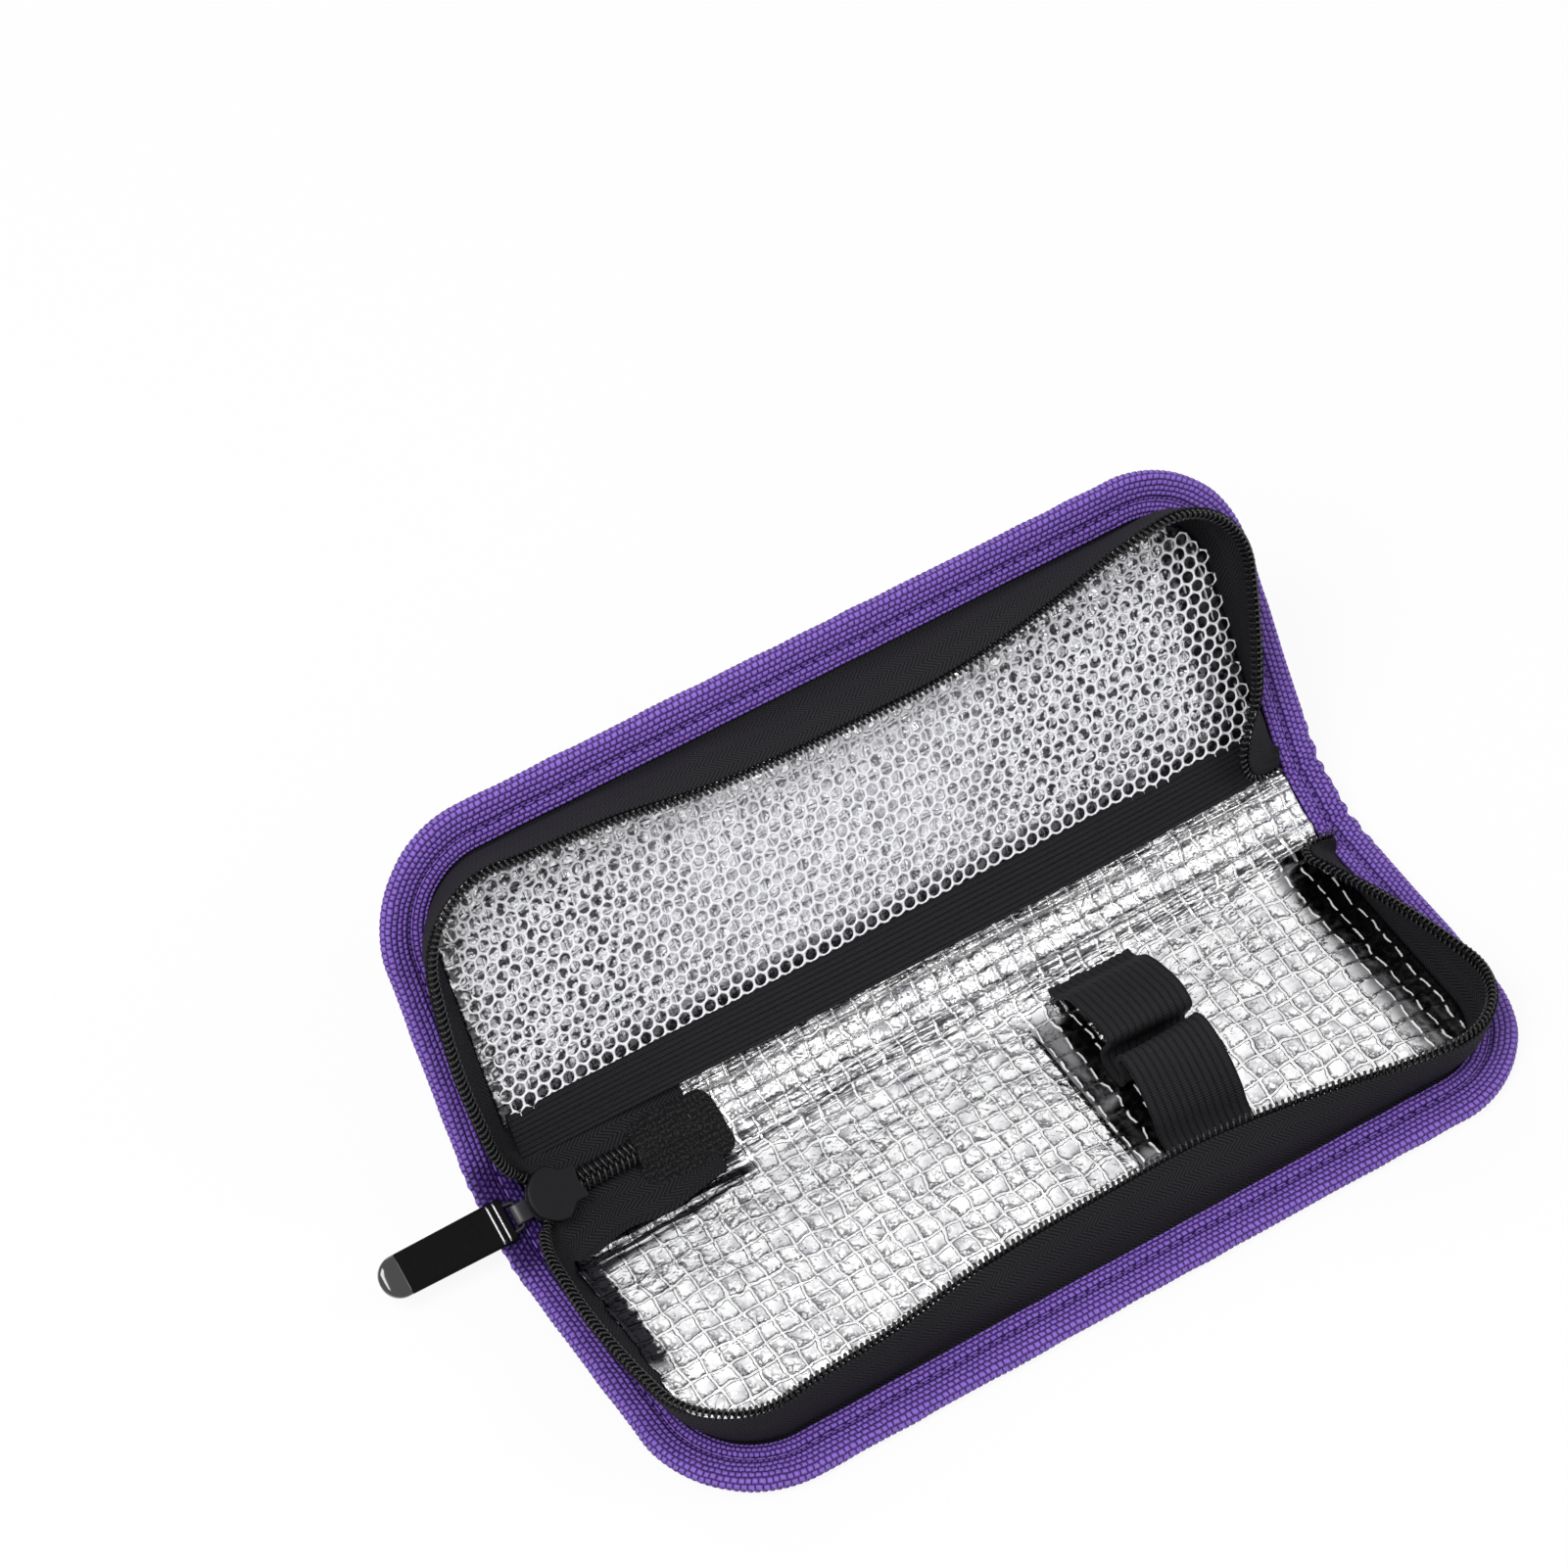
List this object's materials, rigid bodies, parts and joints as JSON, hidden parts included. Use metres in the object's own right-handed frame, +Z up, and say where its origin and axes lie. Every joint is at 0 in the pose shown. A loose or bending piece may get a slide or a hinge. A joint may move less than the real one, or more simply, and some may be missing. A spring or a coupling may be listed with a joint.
{
  "type": "insulin pen cooling case",
  "caption": "Soft zipped case for insulin pens, open: two padded foil-lined panels on a folding spine, elastic pen loops, mesh pocket, zip slider with a long pull.",
  "frame": {"origin": "centre of the underside of the base panel, where the case lies on a table", "axes": "+X along the case towards the end without the slider, +Y from the base to the spine and lid, +Z up"},
  "size_m": [0.2354, 0.1354, 0.0766],
  "materials": {
    "cover_fabric": "matt woven polyester",
    "webbing": "coarse woven webbing",
    "foam": "soft foam",
    "foil": "bright foil on woven scrim",
    "zip_tape": "herringbone tape",
    "zip_coil": "nylon coil",
    "elastic": "ribbed elastic",
    "net": "knitted net",
    "velvet": "pile",
    "slider_metal": "satin black",
    "link_metal": "black wire",
    "pull_plastic": "polished black"
  },
  "bodies": {
    "base": {"base_cover": "cover_fabric", "base_foam": "foam", "base_lining": "foil", "base_binding": "webbing", "base_zipper_tape": "zip_tape", "base_zipper_coil": "zip_coil", "pen_loops": "elastic"},
    "spine": {"spine_cover": "cover_fabric", "spine_foam": "foam", "spine_lining": "foil", "spine_binding_left": "webbing", "spine_binding_right": "webbing", "tail_tape": "zip_tape", "tail_coil_front": "zip_coil", "tail_coil_back": "zip_coil", "tail_end_cover": "velvet"},
    "lid": {"lid_cover": "cover_fabric", "lid_foam": "foam", "lid_lining": "foil", "lid_binding": "webbing", "lid_zipper_tape": "zip_tape", "lid_zipper_coil": "zip_coil", "mesh_pocket": "net", "pocket_elastic": "elastic"},
    "slider": {"slider_body": "slider_metal"},
    "pull": {"pull_link": "link_metal", "pull_tab": "pull_plastic"}
  },
  "joints": [
    {"name": "spine_fold", "type": "hinge", "parent": "base", "child": "spine", "pos_m": [0, 0.0375, 0.0042], "axis": [1, 0, 0], "range_deg": [-27.5, 56]},
    {"name": "lid_fold", "type": "hinge", "parent": "spine", "child": "lid", "pos_m": [0, 0.05169, 0.01159], "axis": [1, 0, 0], "range_deg": [-27.5, 56]},
    {"name": "slider_slide", "type": "slide", "parent": "spine", "child": "slider", "axis": [1, 0, 0], "range_m": [0, 0.008]},
    {"name": "pull_swing", "type": "hinge", "parent": "slider", "child": "pull", "pos_m": [-0.0993, 0.04337, 0.00917], "axis": [0, 0.887, 0.4617], "range_deg": [0, 30]}
  ],
  "couplings": [
    {"joint": "lid_fold", "follows": "spine_fold", "ratio": 1}
  ]
}
